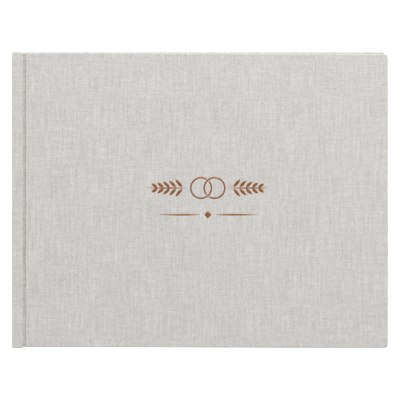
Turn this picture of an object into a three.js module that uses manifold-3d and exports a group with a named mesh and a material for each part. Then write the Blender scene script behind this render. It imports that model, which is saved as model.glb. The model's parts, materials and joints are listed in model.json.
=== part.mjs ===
// Wedding guest book: a landscape hardback covered in linen, lying closed on its back cover.
// Millimetres. +X runs from the spine to the fore edge, +Y from the tail to the head, and +Z up
// through the front cover. The origin is under the middle of the closed book.
import * as THREE from "three";
import { mergeVertices } from "three/addons/utils/BufferGeometryUtils.js";
import Module from "manifold-3d";

const wasm = await Module();
wasm.setup();

// ---- driving dimensions ----------------------------------------------------------------------
const LENGTH = 241.8; // outer face of the spine to the front cover's fore edge
const CASE_HEIGHT = 190.4; // spine and hinge strips, head to tail
const COVER_HEIGHT = 189; // the covers are cut a little shorter
const FRONT_DROOP = 0.25; // degrees that the front cover drops out of square, towards its fore edge
const BACK_SHORT = 1.4; // the back cover stops this far short of the front one at the fore edge
const CORNER = 2.2; // radius of the covers' outer corners, over the cloth
const STRIP_CORNER = 1.1; // radius of the hinge strips' corners
const CLOTH = 0.45; // book linen with its paper backing
const BOARD = 2.5; // grey board of the covers and hinge strips
const SPINE_BOARD = 1.5;
const GLUE = 0.05; // glue line between one layer and the next
const TURN_IN = 15; // cloth folded round the edge of a board and stuck down inside
const STRIP = 7; // width of a hinge strip, over the cloth
const GROOVE = 2.1; // open width of a joint groove, over the cloth
const GROOVE_DEPTH = 0.9;
const JOINT_SPLIT = 1; // the groove's cloth is parted this wide, under the hinge line
const SQUARE = 3.2; // board standing out past the leaves at head and tail
const FORE_SQUARE = 4.7; // and at the front cover's fore edge
const SIGNATURES = 8;
const LEAVES = 8; // in one signature
const LEAF = 0.2; // thickness of one leaf
const FOLD_ROUND = (LEAVES * LEAF) / 3; // radius at the edges of a signature's fold
const ENDPAPER = 0.25;
const FREE_GUTTER = 2.35; // hinge line to the part of a leaf that turns as one
const LINING = 0.25; // kraft paper stuck inside the spine
const GLUED_SHORT = 4; // the lining and mull stop this far short of the leaves at head and tail
const MULL = 0.3; // gauze on the signatures' folds
const THREAD = 0.4;
const STITCH_ROWS = 5;
const STITCH_SPACING = 37.5;
const ROD_SIDES = 12;
const BAND_RADIUS = 0.9; // head and tail bands
const FOIL = 0.08;
const ORNAMENT_X = 5; // middle of the foil ornament
const ORNAMENT_Y = 7.9;

// ---- layers, as depths under a cover's outer face -----------------------------------------------
const boardTop = CLOTH + GLUE;
const boardFoot = boardTop + BOARD;
const turnTop = boardFoot + GLUE;
const turnFoot = turnTop + CLOTH;
const pasteTop = turnFoot + GLUE;
const pasteFoot = pasteTop + ENDPAPER;
const freeTop = pasteFoot + GLUE;
const freeFoot = freeTop + ENDPAPER;
const signaturePitch = LEAVES * LEAF + GLUE;
const blockLow = freeFoot + GLUE;
const thickness = blockLow + SIGNATURES * signaturePitch + freeFoot;

// ---- places along X and Y -------------------------------------------------------------------------
const droop = THREE.MathUtils.degToRad(FRONT_DROOP);
const spineX = -LENGTH / 2;
const stripX = spineX + STRIP; // the strip's edge in the groove
const hingeX = stripX + GROOVE / 2;
const coverX = stripX + GROOVE; // the covers' edge in the groove
const foreX = LENGTH / 2;
const backForeX = foreX - BACK_SHORT;
const leafForeX = LENGTH / 2 - FORE_SQUARE;
const leafHalf = CASE_HEIGHT / 2 - SQUARE;
const spineInner = spineX + 2 * CLOTH + 2 * GLUE + SPINE_BOARD; // inside the spine's turned-in cloth
const liningX = spineInner + GLUE;
const mullX = liningX + LINING + GLUE;
const threadX = mullX + MULL + GLUE;
const foldX = threadX + THREAD + GLUE; // the signatures' folds
const gutterX = stripX - GLUE - CLOTH; // the bound edge of the leaves ends here, under the strip
const freeX = hingeX + FREE_GUTTER;
const drop = Math.tan(droop); // the front cover's fall towards the tail, for each millimetre along X
const backShiftY = (CASE_HEIGHT - COVER_HEIGHT) / 2; // the back cover is level with the strips' head
const frontShiftY = (foreX - hingeX) * drop - backShiftY;
const PAST = 1; // how far a cutting block runs past what it cuts

const material = (color, roughness, metalness = 0) =>
  new THREE.MeshStandardMaterial({ color, roughness, metalness });
const linen = material(0xcdcbc6, 0.95);
const greyBoard = material(0x9a958c, 0.95);
const endpaper = material(0xf3f0e8, 0.85);
const pagePaper = material(0xf6f2e6, 0.85);
const kraft = material(0xb08a5c, 0.9);
const gauze = material(0xe8e4d8, 0.95);
const thread = material(0xf2efe6, 0.8);
const bandSilk = material(0xe9e5da, 0.6);
const copperFoil = material(0xa4622f, 0.35, 1);

// ---- geometry helpers --------------------------------------------------------------------------------
// Depths count from the back cover's face upwards, or from the front cover's face downwards.
const fromBack = (depth) => depth;
const fromFront = (depth) => thickness - depth;

// A rectangle whose two corners on the fore side may be rounded.
function rectangle(x0, x1, half, radius = 0) {
  const shape = new THREE.Shape();
  shape.moveTo(x0, -half);
  shape.lineTo(x1 - radius, -half);
  if (radius) shape.absarc(x1 - radius, radius - half, radius, -Math.PI / 2, 0);
  shape.lineTo(x1, half - radius);
  if (radius) shape.absarc(x1 - radius, half - radius, radius, 0, Math.PI / 2);
  shape.lineTo(x0, half);
  return shape;
}

function plate(shape, z0, z1) {
  const low = Math.min(z0, z1);
  const depth = Math.abs(z1 - z0);
  const extruded = new THREE.ExtrudeGeometry(shape, { depth, bevelEnabled: false, curveSegments: 6 });
  return extruded.translate(0, 0, low);
}

const slab = (x0, x1, half, z0, z1) => plate(rectangle(x0, x1, half), z0, z1);

function solid(geometry) {
  const bare = geometry.clone();
  bare.deleteAttribute("normal");
  bare.deleteAttribute("uv");
  const merged = mergeVertices(bare);
  const vertProperties = new Float32Array(merged.attributes.position.array);
  const triVerts = new Uint32Array(merged.index.array);
  return new wasm.Manifold(new wasm.Mesh({ numProp: 3, vertProperties, triVerts }));
}

function geometryOf(manifold) {
  const result = manifold.getMesh();
  const geometry = new THREE.BufferGeometry();
  geometry.setAttribute("position", new THREE.BufferAttribute(result.vertProperties, 3));
  geometry.setIndex(new THREE.BufferAttribute(result.triVerts, 1));
  return geometry;
}

const join = (pieces) => pieces.map(solid).reduce((whole, piece) => whole.add(piece));
const cut = (whole, tools) => tools.map(solid).reduce((rest, tool) => rest.subtract(tool), whole);

function place(group, name, geometry, finish) {
  const mesh = new THREE.Mesh(geometry, finish);
  mesh.name = name;
  group.add(mesh);
}

// ---- boards --------------------------------------------------------------------------------------------
const round = (radius) => Math.max(radius - CLOTH, 0.2);

function coverBoard(from, fore) {
  const half = COVER_HEIGHT / 2 - boardTop;
  const outline = rectangle(coverX + boardTop, fore - boardTop, half, round(CORNER));
  return plate(outline, from(boardTop), from(boardFoot));
}

function hingeBoard(from) {
  const half = CASE_HEIGHT / 2 - boardTop;
  const outline = rectangle(spineX + boardTop, stripX - boardTop, half, round(STRIP_CORNER));
  return plate(outline, from(boardTop), from(boardFoot));
}

function spineBoard() {
  const x0 = spineX + boardTop;
  return slab(x0, x0 + SPINE_BOARD, CASE_HEIGHT / 2 - boardTop, turnTop, fromFront(turnTop));
}

// ---- linen ---------------------------------------------------------------------------------------------
// The linen is one piece on the real case. Here it is parted along the two grooves, where it bends.
const grooveFoot = GROOVE_DEPTH + CLOTH;

function grooveFloor(from, x0, x1, half) {
  return slab(x0, x1, half, from(GROOVE_DEPTH), from(grooveFoot));
}

function coverCloth(from, fore) {
  const half = COVER_HEIGHT / 2;
  const wrapped = join([
    plate(rectangle(coverX, fore, half, CORNER), from(0), from(turnFoot)),
    grooveFloor(from, hingeX + JOINT_SPLIT / 2, coverX + CLOTH, half),
  ]);
  const pocket = rectangle(coverX + CLOTH, fore - CLOTH, half - CLOTH, round(CORNER));
  return cut(wrapped, [
    plate(pocket, from(CLOTH), from(turnTop)),
    slab(coverX - PAST, fore - TURN_IN, half - TURN_IN, from(boardFoot), from(turnFoot + PAST)),
    slab(coverX - PAST, coverX + CLOTH, half - TURN_IN, from(grooveFoot), from(turnFoot + PAST)),
  ]);
}

function spineCloth() {
  const half = CASE_HEIGHT / 2;
  const inside = half - TURN_IN;
  const straight = half - STRIP_CORNER;
  const spineWall = spineX + CLOTH;
  const stripWall = stripX - CLOTH;
  const stripOutline = rectangle(spineX, stripX, half, STRIP_CORNER);
  const inner = round(STRIP_CORNER);
  const pocket = rectangle(spineWall, stripWall, half - CLOTH, inner);
  const sides = [fromBack, fromFront];
  const wrapped = join([
    slab(spineX, spineInner, half, turnTop, fromFront(turnTop)),
    ...sides.map((from) => plate(stripOutline, from(0), from(turnFoot))),
    ...sides.map((from) => grooveFloor(from, stripWall, hingeX - JOINT_SPLIT / 2, straight)),
  ]);
  return cut(wrapped, [
    slab(spineWall, spineInner - CLOTH, half - CLOTH, boardFoot, fromFront(boardFoot)),
    slab(spineInner - CLOTH - GLUE, spineInner + PAST, inside, boardFoot, fromFront(boardFoot)),
    ...sides.flatMap((from) => [
      plate(pocket, from(CLOTH), from(turnTop)),
      slab(spineWall, stripX + PAST, inside, from(boardFoot), from(turnFoot + PAST)),
      slab(stripWall, stripX + PAST, inside, from(grooveFoot), from(turnFoot + PAST)),
    ]),
  ]);
}

// ---- endpapers -----------------------------------------------------------------------------------------
// An endpaper is one folded sheet. Its pasted half steps up over the cloth's turned-in border.
function pastedSheet(from, x0, windowX, windowHalf) {
  const under = windowHalf - GLUE;
  const sheet = solid(slab(x0, leafForeX, leafHalf, from(turnTop), from(pasteFoot)));
  const over = slab(x0 - PAST, leafForeX + PAST, leafHalf + PAST, from(boardFoot), from(pasteTop));
  const border = cut(solid(over), [
    slab(x0 - 2 * PAST, windowX - GLUE, under, from(boardFoot - PAST), from(pasteFoot)),
  ]);
  const hollow = slab(
    x0 - PAST, windowX - GLUE - ENDPAPER, under - ENDPAPER, from(turnTop + ENDPAPER), from(pasteFoot + PAST)
  );
  return cut(sheet.subtract(border), [hollow]);
}

// The fold at the gutter and the bound edge of the free half.
function endpaperGutter(from) {
  const under = CASE_HEIGHT / 2 - TURN_IN - GLUE;
  return [
    slab(foldX, foldX + ENDPAPER, leafHalf, from(pasteTop), from(freeFoot)),
    slab(foldX, foldX + ENDPAPER, under, from(turnTop), from(freeFoot)),
    slab(foldX, gutterX, leafHalf, from(freeTop), from(freeFoot)),
  ];
}

function backEndpaper() {
  const windowHalf = COVER_HEIGHT / 2 - backShiftY - TURN_IN;
  const pasted = pastedSheet(fromBack, foldX, backForeX - TURN_IN, windowHalf);
  return endpaperGutter(fromBack).map(solid).reduce((whole, piece) => whole.add(piece), pasted);
}

function frontEndpaperGutter() {
  const under = CASE_HEIGHT / 2 - TURN_IN - GLUE;
  const pasted = slab(foldX, gutterX, under, fromFront(turnTop), fromFront(turnTop + ENDPAPER));
  return join([...endpaperGutter(fromFront), pasted]);
}

// ---- text block ----------------------------------------------------------------------------------------
function foldedEdge(low) {
  const high = low + LEAVES * LEAF;
  const profile = new THREE.Shape();
  profile.moveTo(gutterX, low);
  profile.lineTo(gutterX, high);
  profile.lineTo(foldX + FOLD_ROUND, high);
  profile.absarc(foldX + FOLD_ROUND, high - FOLD_ROUND, FOLD_ROUND, Math.PI / 2, Math.PI);
  profile.absarc(foldX + FOLD_ROUND, low + FOLD_ROUND, FOLD_ROUND, Math.PI, Math.PI * 1.5);
  profile.lineTo(gutterX, low);
  const options = { depth: 2 * leafHalf, bevelEnabled: false, curveSegments: 4 };
  return new THREE.ExtrudeGeometry(profile, options).rotateX(Math.PI / 2).translate(0, leafHalf, 0);
}

function upright(radius, x, y, low, high) {
  const rod = new THREE.CylinderGeometry(radius, radius, high - low, ROD_SIDES);
  return rod.rotateX(Math.PI / 2).translate(x, y, (low + high) / 2);
}

// ---- foil ornament ---------------------------------------------------------------------------------------
// Two linked rings between leaf sprigs, over a rule with a diamond in its middle.
const RING_RADIUS = 7.1;
const RING_STROKE = 0.95;
const RING_OFFSET = 4.3;
const RING_SIDES = 32; // in each half
const SPRIG_START = 14.5;
const SPRIG_LENGTH = 25;
const STEM = 0.8;
const LEAF_PAIRS = 5;
const FIRST_PAIR = 1.5; // along the stem
const PAIR_SPACING = 4;
const PAIR_LENGTH = 7.4;
const PAIR_SHRINK = 0.6; // each pair is this much shorter than the last
const PAIR_WIDTH = 1.9;
const PAIR_TURN = 0.85; // radians off the stem
const PAIR_CLOSE = 0.06; // and each pair this much nearer to it
const WIDEST = 0.4; // share of an almond's length from its root to its widest place
const RULE_Y = -17.2; // the rule, from the ornament's middle
const RULE_START = 4.6;
const RULE_LENGTH = 27;
const RULE_WIDTH = 1;
const DIAMOND = 2.3;
const foilLow = thickness + FOIL / 4;

const foilPlate = (shape) => plate(shape, foilLow, foilLow + FOIL);

function ring(x) {
  const shape = new THREE.Shape().absarc(x, 0, RING_RADIUS, 0, Math.PI * 2);
  shape.holes.push(new THREE.Path().absarc(x, 0, RING_RADIUS - RING_STROKE, 0, Math.PI * 2, true));
  const options = { depth: FOIL, bevelEnabled: false, curveSegments: RING_SIDES };
  return new THREE.ExtrudeGeometry(shape, options).translate(0, 0, foilLow);
}

function almond(length, width) {
  const shape = new THREE.Shape();
  shape.moveTo(0, 0);
  shape.quadraticCurveTo(length * WIDEST, width, length, 0);
  shape.quadraticCurveTo(length * WIDEST, -width, 0, 0);
  return shape;
}

function sprig(side) {
  const pieces = [foilPlate(almond(SPRIG_LENGTH, STEM)).translate(SPRIG_START, 0, 0)];
  for (let i = 0; i < LEAF_PAIRS; i++) {
    const x = SPRIG_START + FIRST_PAIR + i * PAIR_SPACING;
    const shape = almond(PAIR_LENGTH - PAIR_SHRINK * i, PAIR_WIDTH);
    for (const turn of [-1, 1]) {
      const leaf = foilPlate(shape).rotateZ(turn * (PAIR_TURN - PAIR_CLOSE * i));
      pieces.push(leaf.translate(x, 0, 0));
    }
  }
  const whole = join(pieces);
  return geometryOf(side > 0 ? whole : whole.mirror([1, 0, 0]));
}

function diamond() {
  const shape = new THREE.Shape();
  shape.moveTo(DIAMOND, 0);
  shape.lineTo(0, DIAMOND);
  shape.lineTo(-DIAMOND, 0);
  shape.lineTo(0, -DIAMOND);
  shape.closePath();
  return foilPlate(shape).translate(0, RULE_Y, 0);
}

function rule(side) {
  const line = foilPlate(almond(RULE_LENGTH, RULE_WIDTH)).translate(RULE_START, RULE_Y, 0);
  return side > 0 ? line : line.rotateZ(Math.PI).translate(0, 2 * RULE_Y, 0);
}

// ---- assembly ---------------------------------------------------------------------------------------------
const book = new THREE.Group();

const raised = (geometry) => geometry.translate(0, backShiftY, 0);
place(book, "back_board", raised(coverBoard(fromBack, backForeX)), greyBoard);
place(book, "back_hinge_board", hingeBoard(fromBack), greyBoard);
place(book, "front_hinge_board", hingeBoard(fromFront), greyBoard);
place(book, "spine_board", spineBoard(), greyBoard);
place(book, "case_cloth_back", raised(geometryOf(coverCloth(fromBack, backForeX))), linen);
place(book, "case_cloth_spine", geometryOf(spineCloth()), linen);
place(book, "back_endpaper_pasted", geometryOf(backEndpaper()), endpaper);
place(book, "front_endpaper_gutter", geometryOf(frontEndpaperGutter()), endpaper);

const glued = leafHalf - GLUED_SHORT;
const foldsTop = fromFront(blockLow);
place(book, "spine_lining", slab(liningX, liningX + LINING, glued, blockLow, foldsTop), kraft);
place(book, "spine_mull", slab(mullX, mullX + MULL, glued, blockLow, foldsTop), gauze);
for (let row = 0; row < STITCH_ROWS; row++) {
  const y = (row - (STITCH_ROWS - 1) / 2) * STITCH_SPACING;
  const stitch = upright(THREAD / 2, threadX + THREAD / 2, y, blockLow + LEAF, foldsTop - LEAF);
  place(book, `sewing_thread_${row + 1}`, stitch, thread);
}
const bandY = leafHalf + GLUE + BAND_RADIUS;
const bandX = foldX + BAND_RADIUS;
place(book, "head_band", upright(BAND_RADIUS, bandX, bandY, blockLow, foldsTop), bandSilk);
place(book, "tail_band", upright(BAND_RADIUS, bandX, -bandY, blockLow, foldsTop), bandSilk);

// Signature 1 is the first one under the front cover.
for (let i = 0; i < SIGNATURES; i++) {
  const low = blockLow + (SIGNATURES - 1 - i) * signaturePitch;
  place(book, `signature_${i + 1}_fold`, foldedEdge(low), pagePaper);
  const leaves = slab(freeX, leafForeX, leafHalf, low, low + LEAVES * LEAF);
  place(book, `signature_${i + 1}_leaves`, leaves, pagePaper);
}
for (const [name, from] of [["front", fromFront], ["back", fromBack]]) {
  const leaf = slab(freeX, leafForeX, leafHalf, from(freeTop), from(freeFoot));
  place(book, `${name}_endpaper_leaf`, leaf, endpaper);
}

// The front cover is a little out of square: it drops towards the tail as it nears the fore edge.
// The ornament drops with it, but stays square.
const outOfSquare = new THREE.Matrix4().set(
  1, 0, 0, 0,
  -drop, 1, 0, drop * hingeX + frontShiftY,
  0, 0, 1, 0,
  0, 0, 0, 1,
);
const dropped = (geometry) => geometry.applyMatrix4(outOfSquare);
place(book, "front_board", dropped(coverBoard(fromFront, foreX)), greyBoard);
place(book, "case_cloth_front", dropped(geometryOf(coverCloth(fromFront, foreX))), linen);
const frontWindow = [foreX - TURN_IN, COVER_HEIGHT / 2 - TURN_IN];
const frontPasted = pastedSheet(fromFront, coverX + boardTop, ...frontWindow);
place(book, "front_endpaper_pasted", dropped(geometryOf(frontPasted)), endpaper);

const ornament = new THREE.Group();
const ornamentMiddle = new THREE.Vector3(ORNAMENT_X, ORNAMENT_Y, 0).applyMatrix4(outOfSquare);
ornament.position.copy(ornamentMiddle);
book.add(ornament);
place(ornament, "foil_rings", geometryOf(join([ring(-RING_OFFSET), ring(RING_OFFSET)])), copperFoil);
place(ornament, "foil_sprig_left", sprig(-1), copperFoil);
place(ornament, "foil_sprig_right", sprig(1), copperFoil);
place(ornament, "foil_diamond", diamond(), copperFoil);
place(ornament, "foil_rule_left", rule(-1), copperFoil);
place(ornament, "foil_rule_right", rule(1), copperFoil);

export default book;
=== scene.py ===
"""Wedding guest book: the visible model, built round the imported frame.

The mesh code counts in millimetres, in the frame's own axes: +X from the spine to the fore edge,
+Y from the tail to the head, +Z up through the front cover. make_piece turns them into metres.
"""
import json
import math

import bmesh
import bpy
import numpy as np
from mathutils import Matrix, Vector, noise


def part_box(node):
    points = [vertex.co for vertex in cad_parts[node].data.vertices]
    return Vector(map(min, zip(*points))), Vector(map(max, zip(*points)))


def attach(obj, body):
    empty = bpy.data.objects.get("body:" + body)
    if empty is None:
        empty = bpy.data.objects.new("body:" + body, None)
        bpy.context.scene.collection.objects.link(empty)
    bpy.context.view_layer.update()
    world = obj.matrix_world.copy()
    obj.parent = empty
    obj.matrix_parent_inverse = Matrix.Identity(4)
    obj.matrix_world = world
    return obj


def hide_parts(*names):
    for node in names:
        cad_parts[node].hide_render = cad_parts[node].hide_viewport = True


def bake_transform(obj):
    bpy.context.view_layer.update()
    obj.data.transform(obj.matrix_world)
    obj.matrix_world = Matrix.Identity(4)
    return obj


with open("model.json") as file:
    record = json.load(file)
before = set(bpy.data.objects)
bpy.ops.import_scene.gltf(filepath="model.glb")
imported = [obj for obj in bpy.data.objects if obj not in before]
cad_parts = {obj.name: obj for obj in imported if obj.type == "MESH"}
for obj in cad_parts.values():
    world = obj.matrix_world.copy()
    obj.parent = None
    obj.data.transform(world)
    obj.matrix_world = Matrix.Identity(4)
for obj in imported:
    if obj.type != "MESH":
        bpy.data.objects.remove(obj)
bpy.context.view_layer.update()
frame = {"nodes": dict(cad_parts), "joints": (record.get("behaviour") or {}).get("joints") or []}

MM = 0.001


def box_mm(node):
    low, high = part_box(node)
    return np.array(low) / MM, np.array(high) / MM


# ---- places that the frame gives ---------------------------------------------------------------
case_low, case_high = box_mm("case_cloth_spine")
back_low, back_high = box_mm("case_cloth_back")
fold_low = box_mm("signature_8_fold")[0]
leaves_high = box_mm("signature_8_leaves")[1]
hinge = next(j for j in frame["joints"] if j["name"] == "front_cover_hinge")
hinge_x = hinge["pos_m"][0] / MM

THICK = case_high[2]
SPINE_X = case_low[0]
CASE_HALF = case_high[1]
FRONT_FORE = box_mm("case_cloth_front")[1][0]
BACK_FORE = back_high[0]
LEAF_FORE = leaves_high[0]
LEAF_HALF = leaves_high[1]
FOLD_X = fold_low[0]
COVER_HALF = (back_high[1] - back_low[1]) / 2
BACK_SHIFT = (back_high[1] + back_low[1]) / 2
BLOCK_LOW = fold_low[2]
ORNAMENT = sum(box_mm("foil_rings"))[:2] / 2

# ---- layers and widths, as in the solid model ----------------------------------------------------
CLOTH = 0.45
STRIP = 7.0
GROOVE = 2.1
GROOVE_DEPTH = 0.9
GROOVE_FOOT = GROOVE_DEPTH + 2 * CLOTH + 0.05  # depth of the turned-in cloth's face in the groove
TURN_FOOT = 3.5  # and under the covers and strips
SPINE_FOOT = 2.5  # and inside the spine
TURN_IN = 15.0
CORNER = 2.2
STRIP_CORNER = 1.1
ENDPAPER = 0.25
PASTED = 3.175  # depth of the pasted endpaper's middle, straight on the board
PASTED_STEP = 0.5  # and how much deeper it lies over the turned-in cloth
FREE_DEPTH = 3.975
SIGNATURES = 8
LEAVES = 8
LEAF = 0.2
SIGNATURE_PITCH = LEAVES * LEAF + 0.05
DROP = math.tan(math.radians(0.25))  # how far the front cover is out of square

STRIP_X = SPINE_X + STRIP
COVER_X = STRIP_X + GROOVE
STRIP_FACE = STRIP_X + 0.3  # the strip's cloth stands a little into the groove
GUTTER_X = STRIP_X - 0.4  # the leaves bend from here on
FRONT_SHIFT = (FRONT_FORE - hinge_x) * DROP - BACK_SHIFT

# ---- shape of the cloth ---------------------------------------------------------------------------
EDGE = 0.7  # radius of the cloth round a board's edge
STRIP_EDGE = 1.1  # and round the strip's edge in the groove
DENT = 0.14  # depth of the stamped ornament
DENT_REACH = 0.5  # the cloth sinks within this distance of the foil
FRAY = 0.07  # unevenness of the cloth along its edges
TAIL_SLACK = 0.4  # how far the cloth stands off the boards at the front cover's tail
HEAD_SLACK = 0.3  # and at the back cover's head
TURN_IN_STEPS = (0.1, 0.35, 0.7, 1.0)  # from a board's edge to the end of the turned-in cloth
# painted shade on the turned-in cloth, inside the covers
TURN_IN_SHADE = 0.1
FINE = 0.42  # grid step under the ornament
COARSE = 3.0
QUARTER = [math.radians(a) for a in (22.5, 45, 67.5, 90)]  # steps round an edge


# ---- mesh helpers ----------------------------------------------------------------------------------
def smooth(low, high, value):
    t = np.clip((value - low) / (high - low), 0, 1)
    return t * t * (3 - 2 * t)


def lines(*spans):
    """Grid lines over joined spans, each given as (start, end, step)."""
    parts = []
    for start, end, step in spans:
        count = max(1, round(abs(end - start) / step))
        parts.append(np.linspace(start, end, count + 1)[:-1])
    return np.append(np.concatenate(parts), spans[-1][1])


def wander(x, y, scale, seed):
    """Smooth noise from -1 to 1 at each of the points."""
    flat = zip(np.ravel(x) / scale, np.ravel(y) / scale)
    values = [noise.noise(Vector((a, b, seed))) for a, b in flat]
    return np.array(values).reshape(np.shape(x))


def grid_faces(index):
    a, b, c, d = index[:-1, :-1], index[1:, :-1], index[1:, 1:], index[:-1, 1:]
    return np.stack([a, b, c, d], axis=-1).reshape(-1, 4).tolist()


def make_piece(name, points, faces, material, cloth=None, painted_shade=None, sharp=50):
    """A mesh object from points in millimetres. cloth holds each point's place in its flat sheet."""
    points = np.asarray(points, float).reshape(-1, 3)
    mesh = bpy.data.meshes.new(name)
    mesh.from_pydata((points * MM).tolist(), [], faces)
    mesh.validate()
    mesh.polygons.foreach_set("use_smooth", [True] * len(mesh.polygons))
    mesh.set_sharp_from_angle(angle=math.radians(sharp))
    store = mesh.attributes.new("cloth", "FLOAT_VECTOR", "POINT")
    store.data.foreach_set("vector", np.asarray(points if cloth is None else cloth, float).ravel())
    # painted_shade: how much painted shade the linen lays on each point
    if painted_shade is not None:
        mesh.attributes.new("painted_shade", "FLOAT", "POINT").data.foreach_set("value", np.ravel(painted_shade))
    piece = bpy.data.objects.new(name, mesh)
    bpy.context.scene.collection.objects.link(piece)
    mesh.materials.append(material)
    return piece


def thicken(piece, thickness, offset):
    """Gives a sheet its thickness, in millimetres, and applies it."""
    modifier = piece.modifiers.new("thickness", "SOLIDIFY")
    modifier.thickness = thickness * MM
    modifier.offset = offset
    depsgraph = bpy.context.evaluated_depsgraph_get()
    made = bpy.data.meshes.new_from_object(
        piece.evaluated_get(depsgraph), preserve_all_data_layers=True, depsgraph=depsgraph
    )
    piece.modifiers.clear()
    piece.data = made
    return piece


# ---- node materials -----------------------------------------------------------------------------------
class Graph:
    """A material's nodes. An input is a socket, or a plain value set on the node itself."""

    def __init__(self, name, **shader):
        self.material = bpy.data.materials.new(name)
        self.material.use_nodes = True
        self.tree = self.material.node_tree
        self.tree.nodes.clear()
        self.shader = self.node("BsdfPrincipled", shader)
        output = self.node("OutputMaterial", {"Surface": self.shader.outputs[0]})
        output.is_active_output = True

    def node(self, kind, inputs=(), **settings):
        made = self.tree.nodes.new("ShaderNode" + kind)
        for key, value in settings.items():
            setattr(made, key, value)
        for key, value in dict(inputs).items():
            self.put(made.inputs[key], value)
        return made

    def put(self, socket, value):
        if isinstance(value, bpy.types.NodeSocket):
            self.tree.links.new(value, socket)
        else:
            socket.default_value = value

    def sheet(self):
        return self.node("Attribute", attribute_name="cloth").outputs["Vector"]

    def place(self):
        """A rigid solid's own coordinates, in millimetres."""
        return self.scaled(self.node("TexCoord").outputs["Object"], (1 / MM, 1 / MM, 1 / MM))

    def value(self, attribute):
        return self.node("Attribute", attribute_name=attribute).outputs["Fac"]

    def math(self, operation, *values, clamp=False):
        return self.node("Math", enumerate(values), operation=operation, use_clamp=clamp).outputs[0]

    def split(self, vector):
        return self.node("SeparateXYZ", {0: vector}).outputs[:3]

    def join(self, x, y, z=0.0):
        return self.node("CombineXYZ", {0: x, 1: y, 2: z}).outputs[0]

    def scaled(self, vector, factors):
        return self.node("VectorMath", {0: vector, 1: factors}, operation="MULTIPLY").outputs[0]

    def noise(self, vector, scale, detail=2.0, roughness=0.5):
        inputs = {"Vector": vector, "Scale": scale, "Detail": detail, "Roughness": roughness}
        return self.node("TexNoise", inputs).outputs["Fac"]

    def ranged(self, value, low, high, to_low=0.0, to_high=1.0):
        return self.node("MapRange", {0: value, 1: low, 2: high, 3: to_low, 4: to_high}).outputs[0]

    def mix(self, factor, a, b):
        return self.node("Mix", {0: factor, 6: a, 7: b}, data_type="RGBA").outputs[2]

    def brighten(self, colour, factor):
        inputs = {0: 1.0, 6: colour, 7: self.join(factor, factor, factor)}
        return self.node("Mix", inputs, data_type="RGBA", blend_type="MULTIPLY").outputs[2]

    def finish(self, colour, roughness=None, height=None, distance=0.05, strength=1.0):
        """Links what varies over the surface. height is bumped by distance, in millimetres."""
        self.put(self.shader.inputs["Base Color"], colour)
        if roughness is not None:
            self.put(self.shader.inputs["Roughness"], roughness)
        if height is not None:
            inputs = {"Height": height, "Distance": distance * MM, "Strength": strength}
            self.put(self.shader.inputs["Normal"], self.node("Bump", inputs).outputs[0])
        return self.material


WARP_PITCH = 0.648  # millimetres from one thread to the next
WEFT_PITCH = 0.68
WARP_COLOUR = (0.663, 0.670, 0.663, 1)
WEFT_COLOUR = (0.461, 0.442, 0.418, 1)
FLECK_COLOUR = (0.36, 0.235, 0.145, 1)
TAN_COLOUR = (0.46, 0.36, 0.27, 1)
# colours of the painted shade in the joint groove and round the cloth's edges
PAINTED_SHADE_COLOUR = (0.44, 0.34, 0.25, 1)
BROWN_SHADE_COLOUR = (0.45, 0.27, 0.15, 1)


def weave(g):
    """The crossings of a plain weave: above 0 where the warp is on top, below 0 where the weft is."""
    u, v, _ = g.split(g.sheet())
    bend_u = g.noise(g.scaled(g.sheet(), (0.06, 0.02, 0.05)), 1.0, 1.0)
    bend_v = g.noise(g.scaled(g.sheet(), (0.02, 0.06, 0.05)), 1.0, 1.0)
    along = g.math("MULTIPLY_ADD", u, math.pi / WARP_PITCH, g.math("MULTIPLY", bend_u, 4.5))
    across = g.math("MULTIPLY_ADD", v, math.pi / WEFT_PITCH, g.math("MULTIPLY", bend_v, 4.5))
    return g.math("MULTIPLY", g.math("SINE", along), g.math("SINE", across))


def linen_material():
    shader = {"Roughness": 0.9, "Sheen Weight": 0.12, "Sheen Roughness": 0.5, "Specular IOR Level": 0.2}
    g = Graph("linen", **shader)
    cloth = g.sheet()
    crossing = weave(g)
    patch = g.ranged(g.noise(cloth, 0.09, 2.0), 0.35, 0.65, 0.85, 1.05)
    share = g.math("MULTIPLY_ADD", g.math("MULTIPLY", crossing, patch), 0.8, 0.5, clamp=True)
    colour = g.mix(share, WEFT_COLOUR, WARP_COLOUR)

    warp_slub = g.noise(g.scaled(cloth, (1.1, 0.045, 1)), 1.0, 3.0, 0.6)
    weft_slub = g.noise(g.scaled(cloth, (0.04, 1.1, 1)), 1.0, 3.0, 0.6)
    cloud = g.noise(cloth, 0.035, 2.0)
    stitch = g.noise(cloth, 0.8, 2.0, 0.7)
    tone = g.ranged(warp_slub, 0.25, 0.75, 0.87, 1.13)
    tone = g.math("MULTIPLY", tone, g.ranged(weft_slub, 0.25, 0.75, 0.92, 1.08))
    tone = g.math("MULTIPLY", tone, g.ranged(cloud, 0.3, 0.7, 0.98, 1.02))
    tone = g.math("MULTIPLY", tone, g.ranged(stitch, 0.25, 0.75, 0.90, 1.10))
    colour = stains_and_painted_shade(g, g.brighten(colour, tone))

    height = g.math("ABSOLUTE", crossing)
    height = g.math("ADD", height, g.math("MULTIPLY", warp_slub, 1.2))
    height = g.math("ADD", height, g.math("MULTIPLY", weft_slub, 1.0))
    return g.finish(colour, None, height, 0.06, 0.8)


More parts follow.
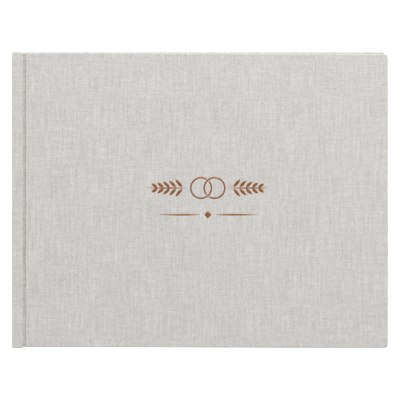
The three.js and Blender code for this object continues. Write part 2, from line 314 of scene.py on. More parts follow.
def stains_and_painted_shade(g, colour):
    """Adds tan threads and brown flecks, and painted shade in the groove and round the edges, brownish and
    in patches.
    """
    cloth = g.sheet()
    tan = g.noise(g.scaled(cloth, (0.35, 0.3, 1)), 1.0, 4.0, 0.75)
    colour = g.mix(g.ranged(tan, 0.47, 0.72, 0.0, 0.36), colour, TAN_COLOUR)
    fleck = g.noise(g.scaled(cloth, (1.0, 0.8, 1)), 1.0, 2.0, 0.6)
    colour = g.mix(g.ranged(fleck, 0.60, 0.76, 0.0, 0.55), colour, FLECK_COLOUR)

    # painted shade: the groove and the cloth's edges are darkened and browned, in patches
    painted_shade = g.value("painted_shade")
    painted_shade_patch = g.ranged(g.noise(g.scaled(cloth, (0.3, 0.12, 1)), 1.0, 3.0), 0.35, 0.65, 0.2, 1.0)
    colour = g.mix(g.math("MULTIPLY", painted_shade, g.math("MULTIPLY", painted_shade_patch, 0.33)), colour, PAINTED_SHADE_COLOUR)
    brown_shade = g.ranged(g.noise(g.scaled(cloth, (0.9, 0.5, 1)), 1.0, 3.0, 0.7), 0.52, 0.66, 0.0, 0.8)
    return g.mix(g.math("MULTIPLY", painted_shade, brown_shade), colour, BROWN_SHADE_COLOUR)


def foil_material():
    g = Graph("copper_foil", **{"Metallic": 0.9, "Coat Weight": 0.1, "Coat Roughness": 0.25})
    crossing = weave(g)
    worn = g.noise(g.sheet(), 2.2, 3.0, 0.6)
    colour = g.mix(g.ranged(worn, 0.35, 0.7), (0.42, 0.165, 0.052, 1), (0.23, 0.077, 0.02, 1))
    thread_gap = g.ranged(g.math("ABSOLUTE", crossing), 0.0, 0.25, 0.6, 0.0)
    colour = g.mix(thread_gap, colour, (0.2, 0.08, 0.03, 1))
    roughness = g.ranged(worn, 0.3, 0.7, 0.34, 0.5)
    return g.finish(colour, roughness, g.math("ABSOLUTE", crossing), 0.05, 0.6)


def paper_material(name, light, dark):
    """Uncoated paper: faint clouds, fibres that show at close range, and leaves that differ a little."""
    g = Graph(name, **{"Specular IOR Level": 0.25, "Sheen Weight": 0.05})
    cloth = g.sheet()
    cloud = g.noise(cloth, 0.25, 4.0, 0.65)
    fibre = g.noise(g.scaled(cloth, (1.2, 4.5, 3.0)), 1.0, 3.0, 0.6)
    factor = g.math("MULTIPLY_ADD", cloud, 0.6, g.math("MULTIPLY", fibre, 0.4))
    colour = g.mix(g.ranged(factor, 0.35, 0.65), light, dark)
    leaf = g.noise(g.scaled(cloth, (0.003, 0.003, 1.9)), 1.0, 3.0, 0.7)
    colour = g.brighten(colour, g.ranged(leaf, 0.3, 0.7, 0.88, 1.03))
    return g.finish(colour, g.ranged(fibre, 0.3, 0.7, 0.78, 0.9), fibre, 0.012, 0.6)


def board_material():
    """Grey board: pressed waste paper, with light and dark specks."""
    g = Graph("grey_board", **{"Specular IOR Level": 0.2})
    place = g.place()
    pulp = g.noise(place, 0.7, 5.0, 0.7)
    colour = g.mix(g.ranged(pulp, 0.35, 0.65), (0.34, 0.32, 0.29, 1), (0.25, 0.235, 0.215, 1))
    speck = g.noise(place, 3.1, 2.0)
    colour = g.mix(g.ranged(speck, 0.66, 0.7, 0.0, 0.8), colour, (0.6, 0.57, 0.5, 1))
    return g.finish(colour, g.ranged(pulp, 0.3, 0.7, 0.85, 0.95), pulp, 0.05, 0.7)


def kraft_material():
    """Kraft paper: brown, with long fibres along the spine."""
    g = Graph("kraft_paper", **{"Specular IOR Level": 0.3})
    fibre = g.noise(g.scaled(g.place(), (3.0, 0.35, 3.0)), 1.0, 4.0, 0.65)
    colour = g.mix(g.ranged(fibre, 0.35, 0.65), (0.50, 0.32, 0.17, 1), (0.38, 0.23, 0.115, 1))
    return g.finish(colour, g.ranged(fibre, 0.3, 0.7, 0.7, 0.85), fibre, 0.02, 0.6)


def mull_material():
    """Open gauze: a coarse square mesh of cotton threads over glue."""
    g = Graph("mull", **{"Specular IOR Level": 0.2})
    _, y, z = g.split(g.place())
    warp = g.math("ABSOLUTE", g.math("SINE", g.math("MULTIPLY", y, math.pi / 1.1)))
    weft = g.math("ABSOLUTE", g.math("SINE", g.math("MULTIPLY", z, math.pi / 1.1)))
    thread = g.math("MAXIMUM", warp, weft)
    colour = g.mix(g.ranged(thread, 0.75, 0.95), (0.55, 0.48, 0.36, 1), (0.80, 0.77, 0.69, 1))
    return g.finish(colour, g.ranged(thread, 0.5, 1.0, 0.6, 0.95), thread, 0.08, 0.8)


def thread_material():
    """Waxed linen thread: two plies that twist round each other."""
    g = Graph("sewing_thread", **{"Specular IOR Level": 0.4})
    _, y, z = g.split(g.place())
    twist = g.math("SINE", g.math("MULTIPLY_ADD", z, 7.0, g.math("MULTIPLY", y, 9.0)))
    colour = g.mix(g.ranged(twist, -1.0, 1.0), (0.66, 0.62, 0.53, 1), (0.86, 0.83, 0.76, 1))
    return g.finish(colour, g.ranged(twist, -1.0, 1.0, 0.7, 0.5), twist, 0.05, 0.8)


BAND_WRAP = 1.3  # height of one light and one dark wrap


def silk_material():
    """Silk wrapped round a core, in two colours by turns."""
    g = Graph("band_silk", **{"Sheen Weight": 0.4, "Sheen Roughness": 0.3, "Specular IOR Level": 0.5})
    _, _, z = g.split(g.sheet())
    wrap = g.math("SINE", g.math("MULTIPLY", z, 2 * math.pi / BAND_WRAP))
    strand = g.math("SINE", g.math("MULTIPLY", z, 14 * math.pi / BAND_WRAP))
    colour = g.mix(g.ranged(wrap, -0.2, 0.2), (0.80, 0.77, 0.69, 1), (0.50, 0.34, 0.22, 1))
    colour = g.brighten(colour, g.ranged(strand, -1.0, 1.0, 0.86, 1.06))
    return g.finish(colour, g.ranged(strand, -1.0, 1.0, 0.55, 0.4), strand, 0.03, 0.7)


linen = linen_material()
copper_foil = foil_material()
band_silk = silk_material()
endpaper = paper_material("endpaper", (0.80, 0.78, 0.73, 1), (0.755, 0.73, 0.675, 1))
page_paper = paper_material("page_paper", (0.79, 0.765, 0.695, 1), (0.74, 0.71, 0.635, 1))


# ---- camera, light and floor ----------------------------------------------------------------------
PICTURE_WIDTH = 257.2  # millimetres across the picture, at the front cover's face
CAMERA_DISTANCE = 6000.0
SENSOR = 36.0


def add_camera():
    data = bpy.data.cameras.new("camera")
    data.sensor_width = SENSOR
    data.lens = SENSOR * CAMERA_DISTANCE / PICTURE_WIDTH
    data.clip_end = 100
    camera = bpy.data.objects.new("camera", data)
    camera.location = (0, 0, (THICK + CAMERA_DISTANCE) * MM)
    bpy.context.scene.collection.objects.link(camera)
    bpy.context.scene.camera = camera


def add_light(name, place, size, power):
    data = bpy.data.lights.new(name, "AREA")
    data.size = size
    data.energy = power
    light = bpy.data.objects.new(name, data)
    light.location = place
    light.rotation_euler = Vector(place).to_track_quat("Z", "Y").to_euler()
    light.visible_camera = False
    bpy.context.scene.collection.objects.link(light)


def add_floor():
    g = Graph("floor", **{"Base Color": (0.82, 0.82, 0.82, 1), "Roughness": 0.9})
    g.put(g.shader.inputs["Emission Color"], (1, 1, 1, 1))
    g.put(g.shader.inputs["Emission Strength"], 0.75)
    half = 9.0
    mesh = bpy.data.meshes.new("floor")
    corners = [(-half, -half, 0), (half, -half, 0), (half, half, 0), (-half, half, 0)]
    mesh.from_pydata(corners, [], [(0, 1, 2, 3)])
    mesh.materials.append(g.material)
    floor = bpy.data.objects.new("floor", mesh)
    floor.location.z = -0.2 * MM
    bpy.context.scene.collection.objects.link(floor)


def add_world():
    world = bpy.data.worlds.new("studio")
    world.use_nodes = True
    background = world.node_tree.nodes["Background"]
    background.inputs["Color"].default_value = (1, 1, 1, 1)
    background.inputs["Strength"].default_value = 0.62
    bpy.context.scene.world = world
    bpy.context.scene.view_settings.view_transform = "Standard"


# ---- foil ornament -----------------------------------------------------------------------------------
# The same ornament as in the solid model. Each outline is a closed loop of points round its middle.
RING_RADIUS = 7.1
RING_STROKE = 0.95
RING_OFFSET = 4.3
RING_GAP = 0.085  # radians left open on each side of the ring that passes over
SPRIG_START = 14.5
SPRIG_LENGTH = 25.0
STEM = 0.8
LEAF_PAIRS = 5
FIRST_PAIR = 1.5  # from the stem's start
PAIR_SPACING = 4.0
PAIR_LENGTH = 6.8
PAIR_SHRINK = 0.6  # by how much each pair is shorter than the one before
PAIR_WIDTH = 1.9
PAIR_TURN = 0.85  # radians from the stem
PAIR_CLOSE = 0.06  # by how much each pair lies closer to the stem
RULE_Y = -17.2
RULE_START = 4.6
RULE_LENGTH = 27.0
RULE_WIDTH = 1.0
DIAMOND = 2.3


def almond(length, width, count=14):
    t = np.linspace(0, 1, count)
    x = 2 * t * (1 - t) * 0.4 * length + t * t * length
    y = 2 * t * (1 - t) * width
    return np.array([*zip(x, -y), *zip(x[-2:0:-1], y[-2:0:-1])])


def turned(points, angle):
    c, s = math.cos(angle), math.sin(angle)
    return points @ np.array([[c, s], [-s, c]])


def arc_band(centre_x, start, end, count=72):
    angles = np.linspace(start, end, count)
    outer, inner = RING_RADIUS, RING_RADIUS - RING_STROKE
    there = [(centre_x + outer * math.cos(a), outer * math.sin(a)) for a in angles]
    back = [(centre_x + inner * math.cos(a), inner * math.sin(a)) for a in angles[::-1]]
    return np.array(there + back)


def linked_rings():
    """Two rings, each parted where the other one passes over it."""
    middle = RING_RADIUS - RING_STROKE / 2
    crossing = math.acos(RING_OFFSET / middle)
    gap = RING_GAP + RING_STROKE / middle / 2
    left = arc_band(-RING_OFFSET, crossing + gap, crossing - gap + 2 * math.pi)
    right_crossing = math.pi + crossing
    right = arc_band(RING_OFFSET, right_crossing + gap, right_crossing - gap + 2 * math.pi)
    return [left, right]


def sprig(side):
    outlines = [almond(SPRIG_LENGTH, STEM, 30) + (SPRIG_START, 0)]
    for i in range(LEAF_PAIRS):
        shape = almond(PAIR_LENGTH - PAIR_SHRINK * i, PAIR_WIDTH)
        for turn in (-1, 1):
            angle = turn * (PAIR_TURN - PAIR_CLOSE * i)
            stalk = turned(np.array([[0.65, 0]]), angle)
            root = (SPRIG_START + FIRST_PAIR + PAIR_SPACING * i, 0) + stalk
            outlines.append(turned(shape, angle) + root)
    if side < 0:
        outlines = [(o * (-1, 1))[::-1] for o in outlines]
    return outlines


def rule(side):
    line = almond(RULE_LENGTH, RULE_WIDTH, 30) + (RULE_START, 0)
    return [(line if side > 0 else -line) + (0, RULE_Y)]


def diamond():
    ends = np.array([(DIAMOND, 0), (0, DIAMOND), (-DIAMOND, 0), (0, -DIAMOND)])
    return [ends + (0, RULE_Y)]


FOIL_SHAPES = {
    "foil_rings": linked_rings(),
    "foil_sprig_left": sprig(-1),
    "foil_sprig_right": sprig(1),
    "foil_diamond": diamond(),
    "foil_rule_left": rule(-1),
    "foil_rule_right": rule(1),
}


def distance_to(outline, points):
    """Each point's distance from a closed outline, 0 inside it."""
    start = outline
    step = np.roll(outline, -1, axis=0) - start
    rel = points[:, None, :] - start[None]
    along = np.clip((rel * step).sum(-1) / (step * step).sum(-1), 0, 1)
    gap = np.linalg.norm(rel - along[..., None] * step, axis=-1).min(1)
    below = start[None, :, 1] <= points[:, None, 1]
    below_end = np.roll(below, -1, axis=1)
    turn = step[None, :, 0] * rel[..., 1] - step[None, :, 1] * rel[..., 0]
    winding = (below & ~below_end & (turn > 0)).sum(1) - (~below & below_end & (turn < 0)).sum(1)
    return np.where(winding != 0, 0, gap)


def dent_depth(x, y):
    """How deep the stamp has pressed the cloth at each of the points."""
    points = np.stack([np.ravel(x), np.ravel(y)], axis=-1) - ORNAMENT
    gap = np.full(len(points), 10.0)
    for outlines in FOIL_SHAPES.values():
        for outline in outlines:
            low, high = outline.min(0) - 1, outline.max(0) + 1
            near = np.flatnonzero(np.all((points > low) & (points < high), axis=1))
            if len(near):
                gap[near] = np.minimum(gap[near], distance_to(outline, points[near]))
    return (DENT * (1 - smooth(0, DENT_REACH, gap))).reshape(np.shape(x))


FOIL_HALF = 0.03  # half the foil's thickness, without its softened edges
FOIL_BEVEL = 0.02
FOIL_DEPTH = 0.08  # from the cover's face down to the foil's middle


def outline_curve(name, outlines):
    """Closed outlines, filled and given the foil's thickness."""
    curve = bpy.data.curves.new(name, "CURVE")
    curve.dimensions = "2D"
    curve.fill_mode = "BOTH"
    curve.extrude = FOIL_HALF * MM
    curve.bevel_depth = FOIL_BEVEL * MM
    curve.offset = -FOIL_BEVEL * MM
    curve.bevel_resolution = 1
    for outline in outlines:
        spline = curve.splines.new("POLY")
        spline.points.add(len(outline) - 1)
        for point, (x, y) in zip(spline.points, outline):
            point.co = (x * MM, y * MM, 0, 1)
        spline.use_cyclic_u = True
    return bpy.data.objects.new(name, curve)


def foil_piece(node, outlines):
    """Foil as thin prisms in the stamped dents, with softened upper edges."""
    drawn = outline_curve(node + "_outline", outlines)
    bpy.context.scene.collection.objects.link(drawn)
    depsgraph = bpy.context.evaluated_depsgraph_get()
    mesh = bpy.data.meshes.new_from_object(drawn.evaluated_get(depsgraph), depsgraph=depsgraph)
    bpy.data.objects.remove(drawn)
    welded = bmesh.new()
    welded.from_mesh(mesh)
    bmesh.ops.remove_doubles(welded, verts=welded.verts, dist=0.001 * MM)
    points = np.array([v.co for v in welded.verts]) / MM
    points += (ORNAMENT[0], ORNAMENT[1], THICK - FOIL_DEPTH)
    welded.verts.index_update()
    faces = [tuple(v.index for v in f.verts) for f in welded.faces]
    welded.free()
    piece = make_piece(node.replace("foil", "stamped"), points, faces, copper_foil, sharp=35)
    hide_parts(node)
    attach(piece, "front_cover")


# ---- linen on the covers --------------------------------------------------------------------------------
def cover_top(x):
    """Depth of the cloth's outer face: it falls into the joint groove beside the strip."""
    return GROOVE_DEPTH * (1 - smooth(COVER_X - 0.8, COVER_X - 0.1, x))


def cover_foot(x):
    """Depth of the turned-in cloth's face."""
    return GROOVE_FOOT + (TURN_FOOT - GROOVE_FOOT) * smooth(COVER_X - 0.2, COVER_X + 0.9, x)


def round_corners(x, y, fore, half, radius):
    """Presses a grid's two fore corners into quarter circles."""
    a = np.clip((x - fore + radius) / radius, 0, 1)
    b = np.clip((np.abs(y) - half + radius) / radius, 0, 1)
    x = x - radius * a * (1 - np.sqrt(1 - b * b / 2))
    y = y - np.sign(y) * radius * b * (1 - np.sqrt(1 - a * a / 2))
    return x, y


def ring_steps(top, foot):
    """Steps from a board's face, round its edge, to the turned-in cloth: (outset, depth, run) each."""
    edge = np.minimum(EDGE, 0.45 * (foot - top))
    wall = foot - top - 2 * edge
    steps = [(edge * math.sin(a), top + edge * (1 - math.cos(a)), edge * a) for a in QUARTER]
    reached = edge * math.pi / 2
    steps.append((edge, top + edge + wall / 2, reached + wall / 2))
    for a in [0] + QUARTER:
        out = edge * math.cos(a)
        steps.append((out, foot - edge + edge * math.sin(a), reached + wall + edge * a))
    return steps


def outward(x, y, fore):
    """Unit directions out of a cover, at points along the border of its face."""
    out_x = np.maximum(x - fore + CORNER, 0)
    out_y = np.sign(y) * np.maximum(np.abs(y) - COVER_HALF + CORNER, 0)
    length = np.hypot(out_x, out_y)
    return out_x / length, out_y / length


def edge_rings(x, y, fore, left):
    """Cloth from the border of a cover's face, round the board's edge, to the end of the turn-in.

    A ring has x, y and depth, x and y in the flat sheet, and the painted shade.
    """
    out_x, out_y = outward(x, y, fore)
    fray = FRAY * (wander(x, y, 2.3, 4.0) + 0.5)
    # painted shade round the cover's edges; none on the head edge, which faces the key light
    shade_tint = np.where(out_y > 0.5, 0.0, 0.75)
    rings = []
    for i, (outset, depth, run) in enumerate(ring_steps(cover_top(x), cover_foot(x))):
        shaken = outset + fray * min(1, i / 2)
        flat = x + out_x * run, y + out_y * run
        rings.append([x + out_x * shaken, y + out_y * shaken, depth, *flat, shade_tint * (1.0 if i else 0.5)])
    inner_x = left + (x - left) * (fore - TURN_IN - left) / (fore - EDGE - left)
    inner_y = y * (COVER_HALF - TURN_IN) / (COVER_HALF - EDGE)
    for t in TURN_IN_STEPS:  # run has reached the turned-in cloth
        in_x, in_y = x + (inner_x - x) * t, y + (inner_y - y) * t
        reach = run + np.hypot(in_x - x, in_y - y)
        flat = x + out_x * reach, y + out_y * reach
        rings.append([in_x, in_y, cover_foot(in_x), *flat, np.full(len(x), TURN_IN_SHADE)])
    return rings


def cover_cloth(name, node, fore, grid, place):
    """One cover's linen: face, groove, rounded edges and the turned-in border."""
    x, y = np.meshgrid(*grid, indexing="ij")
    x, y = round_corners(x, y, fore - EDGE, COVER_HALF - EDGE, CORNER - EDGE)
    index = np.arange(x.size).reshape(x.shape)
    faces = grid_faces(index)
    border = np.concatenate([index[:, 0], index[-1, 1:], index[-2::-1, -1]])
    x, y = x.ravel(), y.ravel()
    top = cover_top(x)
    rings = edge_rings(x[border], y[border], fore, grid[0][0])
    for i in range(len(rings)):
        ring = x.size + i * len(border) + np.arange(len(border))
        faces += grid_faces(np.stack([ring - len(border) if i else border, ring]))
    # painted shade on the face, as deep as the cloth lies in the groove
    rings = [[x, y, top, x, y, top / GROOVE_DEPTH]] + rings
    whole = np.concatenate([np.stack(ring, axis=-1) for ring in rings])
    world = place(*whole[:, :3].T)
    flat = np.column_stack([whole[:, 3:5], np.zeros(len(whole))])
    if world[0, 2] < THICK / 2:
        faces = [f[::-1] for f in faces]
    piece = make_piece(name, world, faces, linen, flat, whole[:, 5])
    thicken(piece, CLOTH, -1)
    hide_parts(node)
    return piece


def on_front(x, y, depth):
    """Drops towards the fore edge. The cloth's tail edge hangs a little lower beside the groove."""
    slack = TAIL_SLACK * (FRONT_FORE - x) / (FRONT_FORE - hinge_x) * np.clip(-y / COVER_HALF, 0, 1)
    return np.column_stack([x, y - DROP * (x - hinge_x) + FRONT_SHIFT - slack, THICK - depth])


def on_back(x, y, depth):
    """The cloth stands a little proud at the head."""
    return np.column_stack([x, y + BACK_SHIFT + HEAD_SLACK * np.clip(y / COVER_HALF, 0, 1), depth])


def on_front_stamped(x, y, depth):
    points = on_front(x, y, depth)
    points[:, 2] -= dent_depth(points[:, 0], points[:, 1])
    return points


def face_spans(start, end, fine):
    if fine is None:
        return [(start, end, COARSE)]
    return [(start, fine[0], COARSE), (*fine, FINE), (fine[1], end, COARSE)]


def cover_lines(fore, fine_x=None, fine_y=None):
    """A cover's grid lines: close in the groove, at the corners and under the ornament."""
    inner = CORNER - EDGE
    step = inner / 5
    x_end, y_end = fore - EDGE, COVER_HALF - EDGE
    x_start, x_turn, y_turn = COVER_X + 1.4, x_end - inner, y_end - inner
    groove = [(STRIP_X - 0.25, COVER_X - 0.4, 0.4), (COVER_X - 0.4, x_start, 0.12)]
    face = face_spans(-y_turn, y_turn, fine_y)
    x_lines = lines(*groove, *face_spans(x_start, x_turn, fine_x), (x_turn, x_end, step))
    return x_lines, lines((-y_end, -y_turn, step), *face, (y_turn, y_end, step))


def add_front_linen():
    span = SPRIG_START + SPRIG_LENGTH + 1.2
    fine_x = (ORNAMENT[0] - span, ORNAMENT[0] + span)
    fine_y = (ORNAMENT[1] + RULE_Y - DIAMOND - 1.5, ORNAMENT[1] + RING_RADIUS + 1.5)
    grid = cover_lines(FRONT_FORE, fine_x, fine_y)
    piece = cover_cloth("linen_front", "case_cloth_front", FRONT_FORE, grid, on_front_stamped)
    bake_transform(piece)


def add_back_linen():
    piece = cover_cloth("linen_back", "case_cloth_back", BACK_FORE, cover_lines(BACK_FORE), on_back)
    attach(piece, "case_and_spine")


# ---- linen on the strips and spine ---------------------------------------------------------------------
def rounded(corners, radii, counts, turn=5):
    """A path through the corners, each rounded, with the straights divided as counts says."""
    corners = [np.array(c, float) for c in corners]
    points = []
    here = corners[0]
    for i, radius in enumerate(radii):
        corner = corners[i + 1]
        back, on = corners[i] - corner, corners[i + 2] - corner
        back, on = back / np.linalg.norm(back), on / np.linalg.norm(on)
        arrive = corner + back * radius
        points += [here + (arrive - here) * t for t in np.linspace(0, 1, counts[i] + 1)[:-1]]
        for angle in np.linspace(0, math.pi / 2, turn + 1)[:-1]:
            swing = on * math.cos(angle) + back * math.sin(angle)
            points.append(corner + (back + on - swing) * radius)
        here = corner + on * radius
    points += [here + (corners[-1] - here) * t for t in np.linspace(0, 1, counts[-1] + 1)]
    return np.array(points)


SHEET_START = 1.72  # shifts the weave along the spine's sheet


def both_faces(*corners):
    """Corners below the front face, given as (x, depth), and the same above the back face."""
    return [(x, THICK - depth) for x, depth in corners] + list(corners[::-1])


def spine_paths():
    """Paths from groove to groove round the spine, on the linen's outer face and its turned-in face."""
    counts = [2, 9, 26, 9, 2]
    wall, foot = STRIP_X - 0.1, SPINE_X + SPINE_FOOT
    outer = both_faces((STRIP_FACE, 1.9), (STRIP_FACE, 0), (SPINE_X, 0))
    inner = both_faces((wall, TURN_FOOT - 0.2), (wall, TURN_FOOT), (foot, TURN_FOOT))
    outer = rounded(outer, [STRIP_EDGE, 0.8, 0.8, STRIP_EDGE], counts)
    return outer, rounded(inner, [0.15, 0.3, 0.3, 0.15], counts)


def spine_row(paths, depth, y, v, shade_tint):
    """Points round the spine: x, y and z, the place in the flat sheet, and the painted shade."""
    outer, inward, gap, u = paths
    fray = (wander(u, np.full_like(u, np.mean(v)), 1.7, 9.0) + 1) * FRAY * 0.6
    deep = np.broadcast_to(depth, gap.shape) - fray * (np.mean(depth) < 1)
    xz = outer + inward * deep[:, None]
    return np.column_stack([xz[:, 0], y, xz[:, 1], u, v, np.full_like(u, shade_tint)])


def spine_end(paths, half, edge, sign):
    """Rows from the end of the turn-in, round the boards' ends, to the outer face."""
    gap = paths[2]
    base = half - edge
    rows = []

    def add(depth, y, v, shade_tint):
        rows.append(spine_row(paths, depth, sign * y, sign * v, shade_tint))

    for t in TURN_IN_STEPS[::-1]:
        y = base + (CASE_HALF - TURN_IN - base) * t
        add(gap, y, half + gap + half - y, TURN_IN_SHADE)
    # painted shade round the boards' ends, strongest on the end wall
    for a in QUARTER[::-1]:
        add(gap - edge * (1 - math.sin(a)), base + edge * math.cos(a), half + gap, 0.8)
    add(gap - edge, half, half + gap - edge, 1.0)
    add(gap / 2, half, half + gap / 2, 1.0)
    for a in QUARTER[::-1]:
        add(edge * (1 - math.cos(a)), base + edge * math.sin(a), base + edge * a, 0.7)
    return rows


def spine_painted_shade(path):
    """Painted shade along the strips' edges, in the grooves and at the spine."""
    x, z = path.T
    groove_side = 0.5 * smooth(STRIP_FACE - 0.4, STRIP_FACE, x)
    spine_side = 0.45 * (1 - smooth(0, 0.8, np.abs(x - SPINE_X)))
    return np.maximum(groove_side, spine_side * (np.abs(z - THICK / 2) > THICK / 2 - 1.2))


def spine_rows(outer, inner):
    along = np.concatenate([[0], np.cumsum(np.linalg.norm(np.diff(outer, axis=0), axis=1))])
    gap = np.linalg.norm(inner - outer, axis=1)
    paths = outer, (inner - outer) / gap[:, None], gap, STRIP_FACE - along + SHEET_START
    lean = STRIP_CORNER - np.clip(STRIP_FACE - outer[:, 0], 0, STRIP_CORNER)
    half = CASE_HALF - STRIP_CORNER + np.sqrt(STRIP_CORNER**2 - lean**2)
    edge = np.minimum(EDGE, 0.4 * gap)
    middle = [(half - edge) * t for t in np.linspace(-1, 1, 181)]
    rows = spine_end(paths, half, edge, -1)
    rows += [spine_row(paths, 0, y, y, 0) for y in middle]
    rows += spine_end(paths, half, edge, 1)[::-1]
    return np.stack(rows, axis=1)


def add_spine_linen():
    """The linen of both strips and the spine, turned in at head and tail."""
    outer, inner = spine_paths()
    whole = spine_rows(outer, inner)
    # painted shade on the spine's linen: round its ends and along the strips' edges
    shade_tint = np.maximum(whole[..., 5], spine_painted_shade(outer)[:, None])
    flat = np.concatenate([whole[..., 3:5], np.zeros((*shade_tint.shape, 1))], axis=-1).reshape(-1, 3)
    faces = [f[::-1] for f in grid_faces(np.arange(shade_tint.size).reshape(shade_tint.shape))]
    piece = make_piece("linen_spine", whole[..., :3], faces, linen, flat, shade_tint)
    thicken(piece, CLOTH, -1)
    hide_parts("case_cloth_spine")
    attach(piece, "case_and_spine")


# ---- paper ---------------------------------------------------------------------------------------------
LEAF_ROWS = 9  # points from tail to head
LEAF_FRAY = 0.04  # unevenness of the leaves' fore edges
SIGNATURE_BEND = GUTTER_X + 17.3  # where the paper's bend ends


def strip_solid(path, half, thickness, seed):
    """One leaf or folded sheet: a path through (x, z), given thickness and run from tail to head."""
    tangent = np.gradient(path, axis=0)
    tangent /= np.linalg.norm(tangent, axis=1)[:, None]
    normal = np.column_stack([-tangent[:, 1], tangent[:, 0]])
    cut = np.zeros((len(path), 1))
    cut[[0, -1], 0] = -LEAF_FRAY, LEAF_FRAY
    points = []
    for side in (1, -1):
        for y in np.linspace(-half, half, LEAF_ROWS):
            uneven = 1 + noise.noise((y / 9, seed, side))
            skin = path + normal * side * thickness / 2 - tangent * cut * uneven
            points.append(np.column_stack([skin[:, 0], np.full(len(path), y), skin[:, 1]]))
    index = np.arange(2 * LEAF_ROWS * len(path)).reshape(2, LEAF_ROWS, len(path))
    sides = [index[:, 0], index[:, 1:, -1], index[:, -1, -2::-1], index[:, -2::-1, 0]]
    faces = [f[::-1] for f in grid_faces(index[0])] + grid_faces(index[1])
    return np.concatenate(points), faces + grid_faces(np.concatenate(sides, axis=1))


def merge_solids(solids):
    points, faces, first = [], [], 0
    for more_points, more_faces in solids:
        points.append(more_points)
        faces += [tuple(i + first for i in f) for f in more_faces]
        first += len(more_points)
    return np.concatenate(points), faces


def leaf_x(fore, start):
    """Places along a leaf, close together where it bends."""
    return lines((start, GUTTER_X, 1.5), (GUTTER_X, SIGNATURE_BEND, 0.6), (SIGNATURE_BEND, fore, 20))


def signature_solid(number, rng):
    """Four folded sheets, one inside the next."""
    low = BLOCK_LOW + (SIGNATURES - number) * SIGNATURE_PITCH
    centre_z = low + LEAVES * LEAF / 2
    centre_x = FOLD_X + LEAVES * LEAF / 2
    solids = []
    for i in range(LEAVES // 2):
        radius = LEAF * (LEAVES / 2 - i - 0.5)
        ends = LEAF_FORE - rng.uniform(0, 0.22, 2)
        upper = leaf_x(ends[0], centre_x)[::-1]
        lower = leaf_x(ends[1], centre_x)
        turn = np.linspace(math.pi / 2, 1.5 * math.pi, 9)[1:-1]
        path = np.concatenate([
            np.column_stack([upper, np.full(len(upper), centre_z + radius)]),
            np.column_stack([centre_x + radius * np.cos(turn), centre_z + radius * np.sin(turn)]),
            np.column_stack([lower, np.full(len(lower), centre_z - radius)]),
        ])
        half = LEAF_HALF - rng.uniform(0, 0.12)
        solids.append(strip_solid(path, half, LEAF - 0.025, number * 10 + i))
    return merge_solids(solids)


def add_signatures():
    rng = np.random.default_rng(7)
    for number in range(1, SIGNATURES + 1):
        name = f"signature_{number}"
        piece = make_piece(f"{name}_sheets", *signature_solid(number, rng), page_paper)
        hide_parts(f"{name}_fold", f"{name}_leaves")
        bend_paper(piece)


def bend_paper(piece):
    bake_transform(piece)


def add_flyleaf(side, z_of):
    """The free half of a folded endpaper, with the fold's wall at the gutter."""
    x = leaf_x(LEAF_FORE - 0.05, FOLD_X + 0.5)
    wall_x = FOLD_X + ENDPAPER / 2
    start = [
        (wall_x, z_of(PASTED + 0.3)),
        (wall_x, z_of(FREE_DEPTH - 0.35)),
        (wall_x + 0.1, z_of(FREE_DEPTH - 0.1)),
    ]
    path = np.concatenate([start, np.column_stack([x, np.full(len(x), z_of(FREE_DEPTH))])])
    points, faces = strip_solid(path, LEAF_HALF, ENDPAPER - 0.03, 90)
    piece = make_piece(f"{side}_flyleaf_sheet", points, faces, endpaper)
    gutter = ["front_endpaper_gutter"] if side == "front" else []
    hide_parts(f"{side}_endpaper_leaf", *gutter)
    bend_paper(piece)


def add_pastedown(side, node, fore, place):
    """The pasted half of an endpaper: it steps up over the turned-in cloth."""
    x_lines = lines(
        (FOLD_X + ENDPAPER / 2, GUTTER_X, 0.9),
        (GUTTER_X, COVER_X + 0.6, 0.2),
        (COVER_X + 0.6, fore - TURN_IN - 2, 12),
        (fore - TURN_IN - 2, fore - TURN_IN + 1, 0.25),
        (fore - TURN_IN + 1, LEAF_FORE, 4),
    )
    step_y = COVER_HALF - TURN_IN
    y_lines = lines(
        (-LEAF_HALF, -step_y - 1, 4),
        (-step_y - 1, -step_y + 2, 0.25),
        (-step_y + 2, step_y - 2, 12),
        (step_y - 2, step_y + 1, 0.25),
        (step_y + 1, LEAF_HALF, 4),
    )
    x, y = np.meshgrid(x_lines, y_lines, indexing="ij")
    over_ends = smooth(-1.2, 0, np.abs(y) - step_y)
    over_fore = smooth(-1.2, 0, x - (fore - TURN_IN))
    depth = PASTED + PASTED_STEP * np.maximum(over_ends, over_fore)
    points = place(x.ravel(), y.ravel(), depth.ravel())
    faces = grid_faces(np.arange(x.size).reshape(x.shape))
    flat = np.column_stack([x.ravel(), y.ravel(), np.zeros(x.size)])
    piece = make_piece(f"{side}_pastedown", points, faces, endpaper, flat)
    thicken(piece, ENDPAPER - 0.02, 0)
    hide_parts(node)
    return piece


def add_endpapers():
    front = add_pastedown("front", "front_endpaper_pasted", FRONT_FORE, on_front)
    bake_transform(front)
    back = add_pastedown("back", "back_endpaper_pasted", BACK_FORE, on_back)
    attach(back, "case_and_spine")
    add_flyleaf("front", lambda depth: THICK - depth)
    add_flyleaf("back", lambda depth: depth)


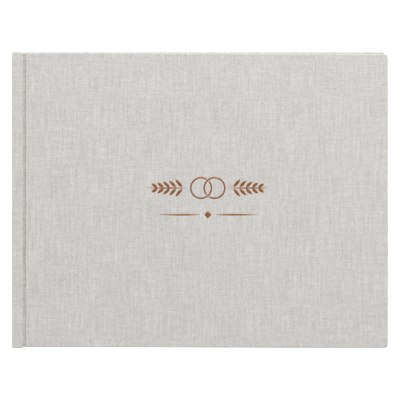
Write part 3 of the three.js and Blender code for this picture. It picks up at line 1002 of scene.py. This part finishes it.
# ---- head and tail bands ---------------------------------------------------------------------------------
RIB = 0.07  # height of a wrap's rib
BAND_END = 0.8  # length over which the band's ends are drawn in


def add_band(node, end):
    """Silk wrapped over a core: a ribbed bead with its ends drawn in."""
    low, high = box_mm(node)
    centre = (low + high) / 2
    radius = (high[0] - low[0]) / 2 - 0.05
    turns = np.linspace(0, 2 * math.pi, 25)[:-1]
    z_lines = np.linspace(low[2], high[2], 121)
    rows = []
    for z in z_lines:
        rib = RIB * abs(math.sin(math.pi * (z - low[2]) / (BAND_WRAP / 2)))
        close = min(z - low[2], high[2] - z, BAND_END) / BAND_END
        drawn = math.sqrt(1 - (1 - close) ** 2)
        r = (radius - RIB + rib) * max(drawn, 0.15)
        rows.append([(centre[0] + r * math.cos(a), centre[1] + r * math.sin(a), z) for a in turns])
    rows = np.array(rows)
    index = np.arange(rows.shape[0] * rows.shape[1]).reshape(rows.shape[:2])
    closed = np.concatenate([index, index[:, :1]], axis=1)
    faces = [f[::-1] for f in grid_faces(closed)]
    faces += [index[0][::-1].tolist(), index[-1].tolist()]
    piece = make_piece(f"{end}_band_silk", rows, faces, band_silk, sharp=80)
    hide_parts(node)
    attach(piece, "case_and_spine")


# ---- solids that stay as they are ----------------------------------------------------------------------
def paint_nodes(material, *names):
    for name in names:
        mesh = frame["nodes"][name].data
        mesh.materials.clear()
        mesh.materials.append(material)


add_camera()
add_world()
add_light("key", (0.4, 1.05, 0.95), 0.9, 15.5)
add_light("fill", (-1.2, -0.8, 1.8), 1.6, 7)
add_floor()
add_front_linen()
add_back_linen()
add_spine_linen()
for foil_node, foil_outlines in FOIL_SHAPES.items():
    foil_piece(foil_node, foil_outlines)
add_endpapers()
add_signatures()
add_band("head_band", "head")
add_band("tail_band", "tail")
cover_boards = ["front_board", "back_board"]
paint_nodes(board_material(), *cover_boards, "front_hinge_board", "back_hinge_board", "spine_board")
paint_nodes(kraft_material(), "spine_lining")
paint_nodes(mull_material(), "spine_mull")
paint_nodes(thread_material(), *[f"sewing_thread_{i}" for i in range(1, 6)])
